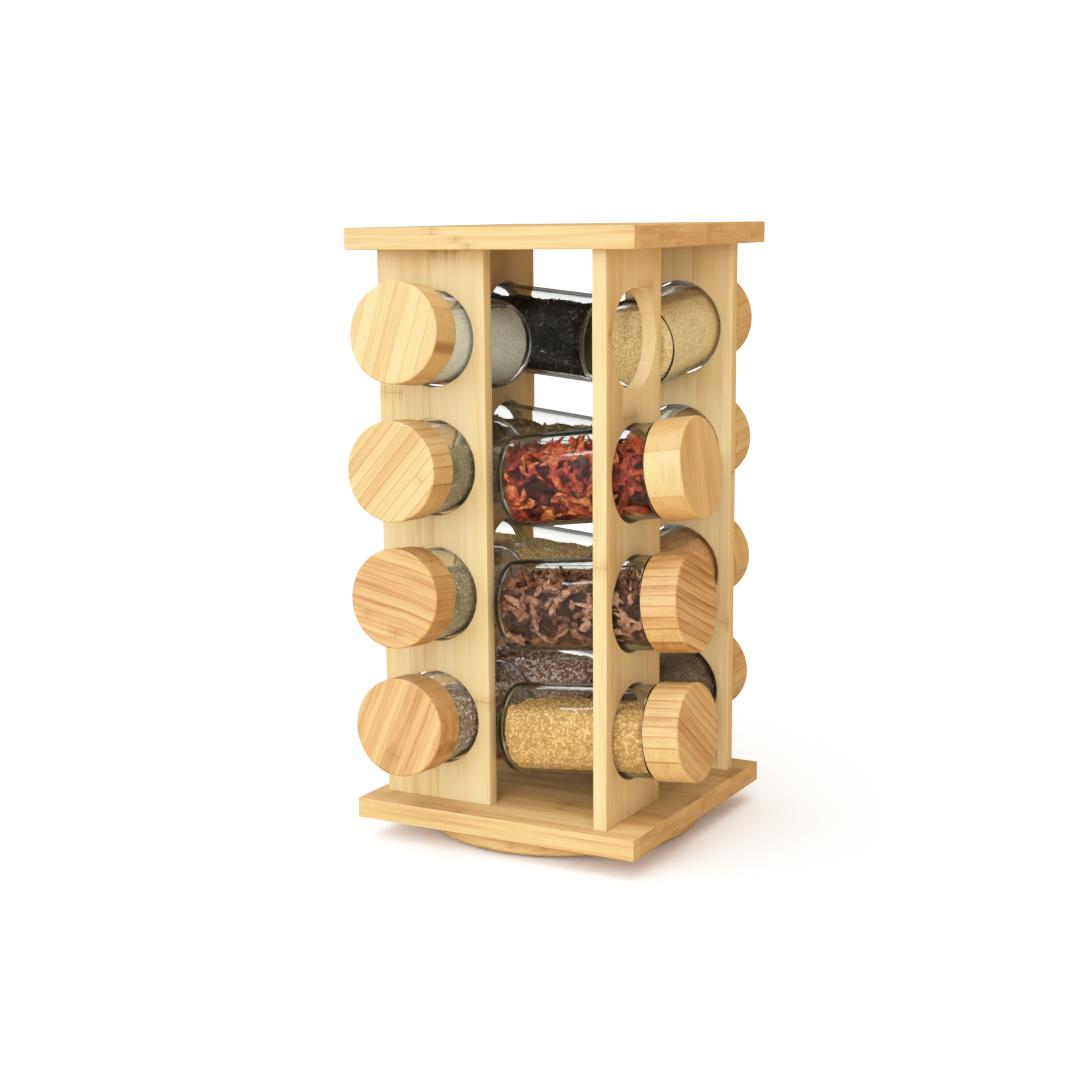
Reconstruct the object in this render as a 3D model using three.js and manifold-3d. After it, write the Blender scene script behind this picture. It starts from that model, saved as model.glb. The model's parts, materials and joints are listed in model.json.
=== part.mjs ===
// A rotating spice carousel in bamboo. Two square boards carry four upright boards between them, set like
// the blades of a pinwheel, and the whole frame turns on a round foot by a flat ball bearing. Each upright
// has a column of round holes. A glass jar with a wooden lid lies in each hole, lid outwards, and leans a
// little so that its inner end is the lower one.
// Millimetres, +Z up. The origin is on the turning axis, on the surface that the foot stands on.
import * as THREE from "three";
import { mergeVertices } from "three/addons/utils/BufferGeometryUtils.js";
import Module from "manifold-3d";

// Frame
const BOARD_SIDE = 160;
const BOARD_THICKNESS = 11;
const BOARD_CHAMFER = 0.6;
const UPRIGHT_HEIGHT = 284;
const UPRIGHT_WIDTH = 62;
const UPRIGHT_THICKNESS = 7.4;
const UPRIGHT_OUTER_FACE = 61.8; // distance from the turning axis to an upright's outer face
const UPRIGHT_INNER_END = 10.5; // distance of its inner edge past the axis, measured along its width
const GLUE_LINE = 0.05;

// Holes: one column in each upright, evenly spaced about its middle
const HOLE_RADIUS = 24.6;
const HOLE_PITCH = 65.4;
const ROWS = 4;
const HOLE_SEGMENTS = 32;

// Foot and bearing
const PAD_RADIUS = 7;
const PAD_THICKNESS = 1.8;
const PAD_COUNT = 4;
const PAD_CIRCLE_RADIUS = 58;
const FOOT_RADIUS = 73.4;
const FOOT_THICKNESS = 8.5;
const FOOT_EDGE_RADIUS = 3.2;
const FOOT_POCKET_RADIUS = 43;
const FOOT_POCKET_DEPTH = 4.2;
const TURNING_GAP = 1.1; // open space between the foot and the base board
const PLATE_RADIUS = 41;
const PLATE_THICKNESS = 0.9;
const PLATE_BOSS_RADIUS = 10;
const PLATE_BOSS_FOOT_RADIUS = 13;
const PLATE_BOSS_RISE = 1.1;
const PLATE_BORE_RADIUS = 4.3;
const EYELET_SHANK_RADIUS = 3.9;
const EYELET_BORE_RADIUS = 2.6;
const EYELET_FLANGE_RADIUS = 6.6;
const EYELET_FLANGE_THICKNESS = 0.6;
const EYELET_CLEARANCE = 0.15;
const BALL_RADIUS = 1.55;
const BALL_COUNT = 12;
const BALL_CIRCLE_RADIUS = 30;
const CAGE_INNER_RADIUS = 14;
const CAGE_OUTER_RADIUS = 37;
const CAGE_THICKNESS = 0.6;

// Jars: a straight glass cylinder with a rounded heel, a seal and a turned wooden lid with a plug
const JAR_RADIUS = 23.5;
const JAR_WALL = 2.1;
const JAR_HEEL = 2.6;
const JAR_BASE = 4.5;
const LID_TO_JAR_END = 83.7; // from the lid's underside to the outside of the jar's end
const LID_RADIUS = 25;
const LID_HEIGHT = 19;
const LID_CHAMFER = 0.5;
const PLUG_RADIUS = 18;
const PLUG_DEPTH = 3.2;
const SEAL_FLANGE_RADIUS = 22.6;
const SEAL_FLANGE_THICKNESS = 0.7;
const SEAL_RADIUS = 20.9;
const SEAL_INNER_RADIUS = 18.5;
const SEAL_DEPTH = 2.6;
const SEAL_CLEARANCE = 0.25;
const JAR_SEGMENTS = 24;
const SEAL_SEGMENTS = 16;

// Where each jar lies: how far its lid stands off the upright, and how far it leans, in millimetres and
// degrees, from the top row down. The top hole of column b has no jar.
const COLUMNS = [
  { name: "a", turn: 0, jars: [[17.0, 6.8], [21.7, 3.3], [21.2, 5.7], [19.5, 4.3]] },
  { name: "b", turn: 90, jars: [null, [17.2, 7.2], [15.3, 6.0], [16.5, 5.1]] },
  { name: "c", turn: 180, jars: [[17.2, 6.2], [17.4, 6.4], [17.9, 5.4], [17.0, 5.0]] },
  { name: "d", turn: -90, jars: [[18.2, 5.8], [16.9, 6.6], [17.6, 5.2], [16.2, 6.1]] },
];

// Heights, from the surface upwards
const FOOT_BOTTOM = PAD_THICKNESS;
const FOOT_TOP = FOOT_BOTTOM + FOOT_THICKNESS;
const BASE_BOTTOM = FOOT_TOP + TURNING_GAP;
const BASE_TOP = BASE_BOTTOM + BOARD_THICKNESS;
const TOP_BOTTOM = BASE_TOP + UPRIGHT_HEIGHT;
const POCKET_FLOOR = FOOT_TOP - FOOT_POCKET_DEPTH;
const UPRIGHT_MIDDLE = BASE_TOP + UPRIGHT_HEIGHT / 2;
const HOLE_OFFSET = UPRIGHT_INNER_END + UPRIGHT_WIDTH / 2;

const wasm = await Module();
wasm.setup();

const BAMBOO = { color: 0xe3bd84, roughness: 0.55, metalness: 0 };
const BAMBOO_PALE = { color: 0xf0d09a, roughness: 0.55, metalness: 0 };
const GLASS = { color: 0xe8efee, roughness: 0.05, metalness: 0, transparent: true, opacity: 0.35 };
const SILICONE = { color: 0x8c8a82, roughness: 0.6, metalness: 0 };
const STEEL = { color: 0xb5b8ba, roughness: 0.35, metalness: 1 };
const RUBBER = { color: 0x2b2b2b, roughness: 0.8, metalness: 0 };

function addPart(parent, name, geometry, look) {
  const mesh = new THREE.Mesh(geometry, new THREE.MeshStandardMaterial(look));
  mesh.name = name;
  parent.add(mesh);
  return mesh;
}

// A solid or ring turned about Z. The profile lists [radius, height] and runs outwards along the
// underside, up the outside and back inwards.
function turned(profile, segments) {
  const points = profile.map(([radius, height]) => new THREE.Vector2(radius, height));
  return new THREE.LatheGeometry(points, segments).rotateX(Math.PI / 2);
}

// A ring whose profile closes on itself.
function turnedRing(profile, segments) {
  return turned([...profile, profile[0]], segments);
}

// A ring pressed from sheet: the line gives its underside from the bore outwards.
function pressedRing(line, thickness, segments) {
  const upper = line.map(([radius, height]) => [radius, height + thickness]).reverse();
  return turnedRing([...line, ...upper], segments);
}

// A quarter circle of profile points about [radius, height], from one angle to another in degrees.
function arc(radius, height, size, from, to, steps) {
  return Array.from({ length: steps + 1 }, (_, i) => {
    const angle = THREE.MathUtils.degToRad(from + ((to - from) * i) / steps);
    return [radius + size * Math.cos(angle), height + size * Math.sin(angle)];
  });
}

function manifoldOf(geometry) {
  const bare = geometry.clone();
  bare.deleteAttribute("normal");
  bare.deleteAttribute("uv");
  const merged = mergeVertices(bare, 1e-4);
  return new wasm.Manifold(
    new wasm.Mesh({
      numProp: 3,
      vertProperties: merged.attributes.position.array,
      triVerts: new Uint32Array(merged.index.array),
    }),
  );
}

function geometryOf(solid) {
  const mesh = solid.getMesh();
  const geometry = new THREE.BufferGeometry();
  geometry.setAttribute("position", new THREE.BufferAttribute(mesh.vertProperties, 3));
  geometry.setIndex(new THREE.BufferAttribute(mesh.triVerts, 1));
  geometry.computeVertexNormals();
  return geometry;
}

// A square board lying flat, its underside at the given height, with a small chamfer on every edge.
function squareBoard(underside) {
  const half = BOARD_SIDE / 2;
  const outline = new THREE.Shape()
    .moveTo(-half + BOARD_CHAMFER, -half)
    .lineTo(half - BOARD_CHAMFER, -half)
    .lineTo(half, -half + BOARD_CHAMFER)
    .lineTo(half, half - BOARD_CHAMFER)
    .lineTo(half - BOARD_CHAMFER, half)
    .lineTo(-half + BOARD_CHAMFER, half)
    .lineTo(-half, half - BOARD_CHAMFER)
    .lineTo(-half, -half + BOARD_CHAMFER)
    .closePath();
  return new THREE.ExtrudeGeometry(outline, {
    depth: BOARD_THICKNESS - 2 * BOARD_CHAMFER,
    bevelEnabled: true,
    bevelThickness: BOARD_CHAMFER,
    bevelSize: BOARD_CHAMFER,
    bevelOffset: -BOARD_CHAMFER,
    bevelSegments: 1,
  }).translate(0, 0, underside + BOARD_CHAMFER);
}

function holeHeight(row) {
  return UPRIGHT_MIDDLE + ((ROWS - 1) / 2 - row) * HOLE_PITCH;
}

// An upright of column a: it stands across the front, left of the axis, outer face to the front.
function uprightBoard() {
  const low = BASE_TOP + GLUE_LINE;
  const high = TOP_BOTTOM - GLUE_LINE;
  const outline = new THREE.Shape()
    .moveTo(-UPRIGHT_INNER_END - UPRIGHT_WIDTH, low)
    .lineTo(-UPRIGHT_INNER_END, low)
    .lineTo(-UPRIGHT_INNER_END, high)
    .lineTo(-UPRIGHT_INNER_END - UPRIGHT_WIDTH, high)
    .closePath();
  for (let row = 0; row < ROWS; row += 1) {
    outline.holes.push(
      new THREE.Path().absarc(-HOLE_OFFSET, holeHeight(row), HOLE_RADIUS, 0, 2 * Math.PI, true),
    );
  }
  return new THREE.ExtrudeGeometry(outline, {
    depth: UPRIGHT_THICKNESS,
    bevelEnabled: false,
    curveSegments: HOLE_SEGMENTS / 2,
  })
    .rotateX(Math.PI / 2)
    .translate(0, -UPRIGHT_OUTER_FACE + UPRIGHT_THICKNESS, 0);
}

// The foot is a disc with a rounded rim and a round pocket in its top for the bearing.
function footDisc() {
  const rim = FOOT_RADIUS - FOOT_EDGE_RADIUS;
  return turned(
    [
      [0, FOOT_BOTTOM],
      ...arc(rim, FOOT_BOTTOM + FOOT_EDGE_RADIUS, FOOT_EDGE_RADIUS, -90, 0, 3),
      ...arc(rim, FOOT_TOP - FOOT_EDGE_RADIUS, FOOT_EDGE_RADIUS, 0, 90, 3),
      [FOOT_POCKET_RADIUS, FOOT_TOP],
      [FOOT_POCKET_RADIUS, POCKET_FLOOR],
      [0, POCKET_FLOOR],
    ],
    48,
  );
}

// One plate of the bearing, with its middle pressed towards the other plate by the rise.
function bearingPlate(height, rise) {
  return pressedRing(
    [
      [PLATE_BORE_RADIUS, height + rise],
      [PLATE_BOSS_RADIUS, height + rise],
      [PLATE_BOSS_FOOT_RADIUS, height],
      [PLATE_RADIUS, height],
    ],
    PLATE_THICKNESS,
    32,
  );
}

// A hollow rivet that holds the two plates together at the middle and lets them turn.
function pivotEyelet(lowerSeat, upperSeat) {
  const low = lowerSeat - EYELET_CLEARANCE;
  const high = upperSeat + EYELET_CLEARANCE;
  return turnedRing(
    [
      [EYELET_BORE_RADIUS, low - EYELET_FLANGE_THICKNESS],
      [EYELET_FLANGE_RADIUS, low - EYELET_FLANGE_THICKNESS],
      [EYELET_FLANGE_RADIUS, low],
      [EYELET_SHANK_RADIUS, low],
      [EYELET_SHANK_RADIUS, high],
      [EYELET_FLANGE_RADIUS, high],
      [EYELET_FLANGE_RADIUS, high + EYELET_FLANGE_THICKNESS],
      [EYELET_BORE_RADIUS, high + EYELET_FLANGE_THICKNESS],
    ],
    16,
  );
}

// A flat ring round the plates' middles that carries the balls at even spacing.
function ballCage(middle) {
  let solid = manifoldOf(
    turnedRing(
      [
        [CAGE_INNER_RADIUS, middle - CAGE_THICKNESS / 2],
        [CAGE_OUTER_RADIUS, middle - CAGE_THICKNESS / 2],
        [CAGE_OUTER_RADIUS, middle + CAGE_THICKNESS / 2],
        [CAGE_INNER_RADIUS, middle + CAGE_THICKNESS / 2],
      ],
      32,
    ),
  );
  for (let i = 0; i < BALL_COUNT; i += 1) {
    const angle = (2 * Math.PI * i) / BALL_COUNT;
    const ball = new THREE.SphereGeometry(BALL_RADIUS, 8, 6).translate(
      BALL_CIRCLE_RADIUS * Math.cos(angle),
      BALL_CIRCLE_RADIUS * Math.sin(angle),
      middle,
    );
    solid = solid.add(manifoldOf(ball));
  }
  return geometryOf(solid);
}

// The jar, its seal and its lid are turned about one axis, with the lid's underside at height 0.
function jarGlass() {
  const end = -LID_TO_JAR_END;
  const mouth = -SEAL_FLANGE_THICKNESS - 2 * SEAL_CLEARANCE;
  const inside = JAR_RADIUS - JAR_WALL;
  return turned(
    [
      [0, end],
      [JAR_RADIUS - JAR_HEEL, end],
      [JAR_RADIUS, end + JAR_HEEL],
      [JAR_RADIUS, mouth],
      [inside, mouth],
      [inside, end + JAR_BASE],
      [0, end + JAR_BASE],
    ],
    JAR_SEGMENTS,
  );
}

function jarSeal() {
  const top = -SEAL_CLEARANCE;
  const flange = top - SEAL_FLANGE_THICKNESS;
  return turnedRing(
    [
      [SEAL_INNER_RADIUS, -SEAL_DEPTH],
      [SEAL_RADIUS, -SEAL_DEPTH],
      [SEAL_RADIUS, flange],
      [SEAL_FLANGE_RADIUS, flange],
      [SEAL_FLANGE_RADIUS, top],
      [SEAL_INNER_RADIUS, top],
    ],
    SEAL_SEGMENTS,
  );
}

function jarLid() {
  return turned(
    [
      [0, -PLUG_DEPTH],
      [PLUG_RADIUS, -PLUG_DEPTH],
      [PLUG_RADIUS, 0],
      [LID_RADIUS, 0],
      [LID_RADIUS, LID_HEIGHT - LID_CHAMFER],
      [LID_RADIUS - LID_CHAMFER, LID_HEIGHT],
      [0, LID_HEIGHT],
    ],
    JAR_SEGMENTS,
  );
}

// A jar of column a: its axis passes through the middle of its hole and rises towards the lid.
function jarGroup(place, row, standOff, lean) {
  const group = new THREE.Group();
  const tilt = THREE.MathUtils.degToRad(lean);
  const seat = new THREE.Group();
  seat.position.set(0, 0, standOff + UPRIGHT_THICKNESS / 2 / Math.cos(tilt));
  addPart(seat, `jar_glass_${place}`, jarGlass(), GLASS);
  addPart(seat, `jar_seal_${place}`, jarSeal(), SILICONE);
  addPart(seat, `jar_lid_${place}`, jarLid(), BAMBOO_PALE);
  group.add(seat);
  group.position.set(-HOLE_OFFSET, -UPRIGHT_OUTER_FACE + UPRIGHT_THICKNESS / 2, holeHeight(row));
  group.rotation.x = Math.PI / 2 - tilt;
  return group;
}

function turntable() {
  const group = new THREE.Group();
  addPart(group, "foot_disc", footDisc(), BAMBOO);
  for (let i = 0; i < PAD_COUNT; i += 1) {
    const angle = ((i + 0.5) / PAD_COUNT) * 2 * Math.PI;
    const pad = turned(
      [
        [0, 0],
        [PAD_RADIUS, 0],
        [PAD_RADIUS, PAD_THICKNESS - GLUE_LINE],
        [0, PAD_THICKNESS - GLUE_LINE],
      ],
      16,
    ).translate(PAD_CIRCLE_RADIUS * Math.cos(angle), PAD_CIRCLE_RADIUS * Math.sin(angle), 0);
    addPart(group, `rubber_foot_${i + 1}`, pad, RUBBER);
  }
  const lower = POCKET_FLOOR + GLUE_LINE;
  const upper = BASE_BOTTOM - GLUE_LINE - PLATE_THICKNESS;
  addPart(group, "bearing_lower_plate", bearingPlate(lower, PLATE_BOSS_RISE), STEEL);
  addPart(group, "bearing_upper_plate", bearingPlate(upper, -PLATE_BOSS_RISE), STEEL);
  addPart(group, "bearing_ball_cage", ballCage((lower + PLATE_THICKNESS + upper) / 2), STEEL);
  const eyelet = pivotEyelet(lower + PLATE_BOSS_RISE, upper - PLATE_BOSS_RISE + PLATE_THICKNESS);
  addPart(group, "bearing_eyelet", eyelet, STEEL);
  return group;
}

const carousel = new THREE.Group();
carousel.add(turntable());
addPart(carousel, "base_board", squareBoard(BASE_BOTTOM), BAMBOO);
addPart(carousel, "top_board", squareBoard(TOP_BOTTOM), BAMBOO);
for (const { name, turn, jars } of COLUMNS) {
  const column = new THREE.Group();
  addPart(column, `upright_${name}`, uprightBoard(), BAMBOO);
  jars.forEach((jar, row) => {
    if (jar) {
      column.add(jarGroup(`${name}${row + 1}`, row, ...jar));
    }
  });
  column.rotation.z = THREE.MathUtils.degToRad(turn);
  carousel.add(column);
}

export default carousel;
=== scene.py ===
import json
import math

import bmesh
import bpy
import numpy as np
from mathutils import Matrix, Vector


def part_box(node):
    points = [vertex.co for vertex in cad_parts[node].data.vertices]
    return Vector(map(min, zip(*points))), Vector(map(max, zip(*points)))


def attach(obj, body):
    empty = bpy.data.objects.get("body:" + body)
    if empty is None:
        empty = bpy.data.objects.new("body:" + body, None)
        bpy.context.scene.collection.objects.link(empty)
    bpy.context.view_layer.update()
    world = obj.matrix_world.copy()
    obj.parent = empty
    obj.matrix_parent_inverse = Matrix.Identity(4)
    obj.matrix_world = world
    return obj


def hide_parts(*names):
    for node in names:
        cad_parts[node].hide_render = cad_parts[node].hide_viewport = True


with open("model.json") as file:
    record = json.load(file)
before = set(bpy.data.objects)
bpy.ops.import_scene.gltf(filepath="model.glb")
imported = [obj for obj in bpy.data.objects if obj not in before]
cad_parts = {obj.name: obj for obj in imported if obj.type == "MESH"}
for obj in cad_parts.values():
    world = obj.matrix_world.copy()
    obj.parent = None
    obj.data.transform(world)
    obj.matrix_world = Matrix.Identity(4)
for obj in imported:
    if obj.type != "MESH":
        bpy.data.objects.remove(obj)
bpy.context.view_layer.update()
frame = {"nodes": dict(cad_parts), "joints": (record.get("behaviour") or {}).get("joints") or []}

MM = 0.001

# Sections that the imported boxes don't give directly
BOARD_EDGE = 0.7 * MM
UPRIGHT_EDGE = 0.45 * MM
HOLE_RADIUS = 24.6 * MM
HOLE_PITCH = 65.4 * MM
ROWS = 4
FOOT_EDGE_RADIUS = 3.6 * MM
FOOT_POCKET_RADIUS = 43 * MM
FOOT_POCKET_DEPTH = 4.2 * MM
PAD_EDGE = 0.5 * MM
PAD_DISH = 0.35 * MM
LID_HEIGHT = 19 * MM
LID_EDGE = 0.9 * MM
PLUG_RADIUS = 18 * MM
PLUG_DEPTH = 3.2 * MM
PLUG_EDGE = 0.6 * MM
SEAL_RADIUS = 21.1 * MM
SEAL_BORE = PLUG_RADIUS + 0.3 * MM
SEAL_RIB = 0.9 * MM
SEAL_FLANGE = 0.75 * MM
SEAL_ROUND = 0.35 * MM
JAR_WALL = 2.1 * MM
JAR_BASE = 2.6 * MM
JAR_HEEL = 3.4 * MM
JAR_INNER_HEEL = 1.6 * MM
JAR_CROWN = 0.9 * MM  # how far the base is hollow
HEEL_STEPS = 10
# The beads round a jar's heel, and the steps of the heel's arc that they take up
BEADS = 72
BEAD_HEIGHT = 0.55 * MM
BEAD_SEGMENTS = 5
BEAD_STEPS = 6
RING_GAP = 0.3 * MM  # a ring this near a rounded edge keeps the straight wall beside it shaded as straight

# Room around the spice: at the glass, at the jar's base and under the plug
FILL_GAP, FILL_LOW, FILL_HIGH = 0.25 * MM, 0.7 * MM, 0.5 * MM
PIECE_GAP, PIECE_LOW, PIECE_HIGH = 0.3 * MM, 0.6 * MM, 0.3 * MM
FILL_RADIUS = 21 * MM  # nearly the fill's own radius, for drawing it in under its loose pieces
FILL_STATIONS, FILL_AROUND, FILL_WAVES = 70, 120, 14
SHAPES_SEED = 11
SPICE_SEED = 100

# Bamboo from pale to dark, for three kinds of board
PALE = ((0.63, 0.475, 0.26), (0.57, 0.40, 0.185), (0.43, 0.25, 0.09))
PLAIN = ((0.57, 0.385, 0.165), (0.50, 0.305, 0.112), (0.36, 0.180, 0.050))
TOASTED = ((0.50, 0.295, 0.11), (0.42, 0.215, 0.07), (0.27, 0.115, 0.030))
GLUE_TINT = (0.55, 0.42, 0.30)
GLUE_WIDTH = 0.26 * MM
NODE_MARK = 0.7 * MM
NODE_HALO = 6 * MM
LID_LAYER = 60 * MM  # a lid lies within one layer
LID_NODES = 0.55
# Which way the lines on a cut end run: along a board's edge, or through a lid's thickness
END_LEVEL = (0.04, 1.0)
END_UPRIGHT = (1.0, 0.04)

# Camera: where it stands in metres, the way it looks in degrees, and its lens in mm
CAMERA_PLACE = (0.47507, -0.91263, 0.32429)
CAMERA_AZIMUTH = 30.07
CAMERA_ELEVATION = 11.09
CAMERA_ROLL = 0.80
CAMERA_LENS = 65.63
CAMERA_SHIFT = (0.0598, 0.0535)
CAMERA_CLIP = (0.01, 50)

# Light: white surroundings that turn warm and dimmer towards +X and the back
WHITE_SIDE = (2.15, 2.15, 2.15)
WARM_SIDE = (0.40, 0.17, 0.03)
DIM_TOWARDS = (0.66, 0.75, 0.0)
DIM_BLEND = (-0.12, 0.50)
REFLECTED_SHARE = 0.13
# Each soft sun's direction and strength. The suns light the surfaces, but nothing mirrors them.
SUNS = {
    "key": ((0.0, -0.96, 0.26), 3.5),
    "fill": ((0.78, -0.60, 0.15), 1.4),
    "top": ((0.0, -0.25, 0.97), 2.6),
}
SUN_SPREAD = 60  # degrees
# The lamps that show in gloss: place, target, width and height, and power
STRIP = ((-0.62, -0.52, 1.15), (0, -0.06, 0.16), (0.05, 0.55), 1.1)
GLINT = ((-1.05, -0.50, 0.43), (0, -0.06, 0.12), (0.45, 0.45), 9.0)
FLOOR_HALF = 12.0
FLOOR_WARMTH = (0.78, 0.60, 0.38)  # the colour of the light that the floor throws back
FLOOR_MIRRORED = (0.06, 0.055, 0.05)
WHITE_LEVEL = 2.0
SHOULDER_STEPS = 8
GLASS_BOUNCES = 24  # a sight line through two jars passes a lot of glass
OTHER_BOUNCES = 12

TURNS = {"a": 0, "b": 90, "c": 180, "d": -90}
JARS = sorted(n[len("jar_glass_"):] for n in frame["nodes"] if n.startswith("jar_glass_"))
JOINT_AXES = {j["name"]: Vector(j["axis"]) for j in frame["joints"]}


# ---------------------------------------------------------------- meshes

def new_object(name, data, matrix=Matrix.Identity(4)):
    """Puts a mesh, a curve, a lamp or a camera into the scene."""
    piece = bpy.data.objects.new(name, data)
    bpy.context.scene.collection.objects.link(piece)
    piece.matrix_world = matrix
    return piece


def new_mesh(name, vertices, faces, sharp=35):
    """A smooth mesh whose edges are sharp from the given angle in degrees."""
    mesh = bpy.data.meshes.new(name)
    mesh.from_pydata([tuple(v) for v in vertices], [], [tuple(f) for f in faces])
    mesh.validate()
    mesh.shade_smooth()
    mesh.set_sharp_from_angle(angle=math.radians(sharp))
    return mesh


def arc(centre, size, start, end, steps):
    """Profile points of an arc about centre, from start to end degrees."""
    angles = np.radians(np.linspace(start, end, steps + 1))
    return [(centre[0] + size * math.cos(a), centre[1] + size * math.sin(a)) for a in angles]


def band_faces(lower, upper):
    """The faces between two rings with the same number of points."""
    return [(lower[k - 1], lower[k], upper[k], upper[k - 1]) for k in [*range(1, len(lower)), 0]]


def turned(name, profile, segments, sharp=35, swell=None):
    """A solid turned about Z. The profile runs from the axis outwards, up and back to the axis, or, where its
    ends are off the axis, closes on itself. swell(index, angle) may add to the radius of a profile point."""
    vertices = []
    rings = []
    for index, (radius, height) in enumerate(profile):
        if radius < 1e-9:
            rings.append([len(vertices)])
            vertices.append((0, 0, height))
            continue
        ring = []
        for k in range(segments):
            angle = 2 * math.pi * k / segments
            r = radius + (swell(index, angle) if swell else 0)
            ring.append(len(vertices))
            vertices.append((r * math.cos(angle), r * math.sin(angle), height))
        rings.append(ring)
    following = rings[1:] if len(rings[0]) == 1 else rings[1:] + rings[:1]
    faces = []
    for lower, upper in zip(rings, following):
        if len(lower) == 1:
            faces += [(lower[0], upper[(k + 1) % segments], upper[k]) for k in range(segments)]
        elif len(upper) == 1:
            faces += [(lower[k], lower[(k + 1) % segments], upper[0]) for k in range(segments)]
        else:
            faces += band_faces(lower, upper)
    return new_mesh(name, vertices, faces, sharp)


def flat_board(name, outline, holes, thickness, edge):
    """A board cut from sheet: the outline and holes lie in local X and Z, and the board runs through local Y
    from 0 to its thickness. Its edges are rounded."""
    curve = bpy.data.curves.new(name, "CURVE")
    curve.dimensions = "2D"
    curve.fill_mode = "BOTH"
    curve.extrude = thickness / 2 - edge
    curve.bevel_depth = edge
    curve.bevel_resolution = 2
    curve.offset = -edge
    for points in [outline, *holes]:
        spline = curve.splines.new("POLY")
        spline.points.add(len(points) - 1)
        for point, (x, z) in zip(spline.points, points):
            point.co = (x, z, 0, 1)
        spline.use_cyclic_u = True
    holder = new_object(name + "_curve", curve)
    bpy.context.view_layer.update()
    mesh = bpy.data.meshes.new_from_object(holder.evaluated_get(bpy.context.evaluated_depsgraph_get()))
    bpy.data.objects.remove(holder)
    bpy.data.curves.remove(curve)
    mesh.name = name
    mesh.transform(Matrix.Translation((0, thickness / 2, 0)) @ Matrix.Rotation(math.pi / 2, 4, "X"))
    weld(mesh)
    mesh.materials.clear()
    mesh.shade_smooth()
    mesh.set_sharp_from_angle(angle=math.radians(50))
    return mesh


def weld(mesh):
    """Joins points that lie on each other and turns every face outwards."""
    work = bmesh.new()
    work.from_mesh(mesh)
    bmesh.ops.remove_doubles(work, verts=work.verts, dist=1e-6)
    bmesh.ops.recalc_face_normals(work, faces=work.faces)
    work.to_mesh(mesh)
    work.free()


def circle_points(x, z, radius, count):
    """Evenly spaced points round a circle."""
    return [
        (x + radius * math.cos(2 * math.pi * k / count), z + radius * math.sin(2 * math.pi * k / count))
        for k in range(count)
    ]


def coordinates(mesh):
    """A mesh's vertices as an array with a row for each."""
    values = np.empty(len(mesh.vertices) * 3)
    mesh.vertices.foreach_get("co", values)
    return values.reshape(-1, 3)


def set_grain(mesh, across, depth, along, offset):
    """Stores each vertex's place in the wood: across the strips, through the layers and along the fibre."""
    basis = np.array([across, depth, along], float)
    values = coordinates(mesh) @ basis.T + np.array(offset, float)
    attribute = mesh.attributes.new("grain", "FLOAT_VECTOR", "POINT")
    attribute.data.foreach_set("vector", values.astype(np.float32).ravel())


# ---------------------------------------------------------------- materials

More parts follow.
